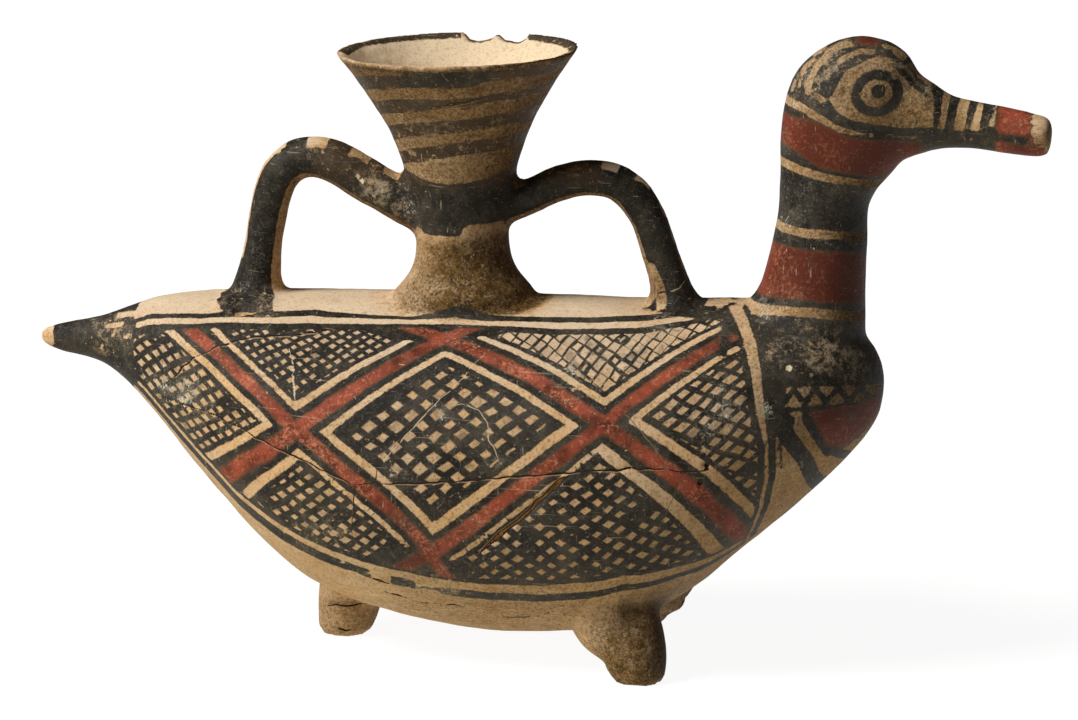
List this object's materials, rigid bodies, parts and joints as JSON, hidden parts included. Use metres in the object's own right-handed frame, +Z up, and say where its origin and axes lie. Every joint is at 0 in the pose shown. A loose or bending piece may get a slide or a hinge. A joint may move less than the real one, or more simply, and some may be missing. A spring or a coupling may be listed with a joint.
{
  "type": "bird-shaped pottery vessel",
  "caption": "Hollow painted pottery vessel in the shape of a duck, on short feet, with a funnel mouth on its back and loop handles joined to the funnel's stem.",
  "frame": {"origin": "on the surface that the feet stand on, under the middle of the bounding box", "axes": "+X from the tail tip to the beak tip, +Y to the vessel's left side, away from the picture's viewer, +Z up"},
  "size_m": [0.3001, 0.1057, 0.1892],
  "materials": {
    "painted_clay": "unglazed fired clay, buff, painted in matt black and red, worn and cracked"
  },
  "bodies": {
    "root": {"vessel": "painted_clay"}
  },
  "joints": []
}
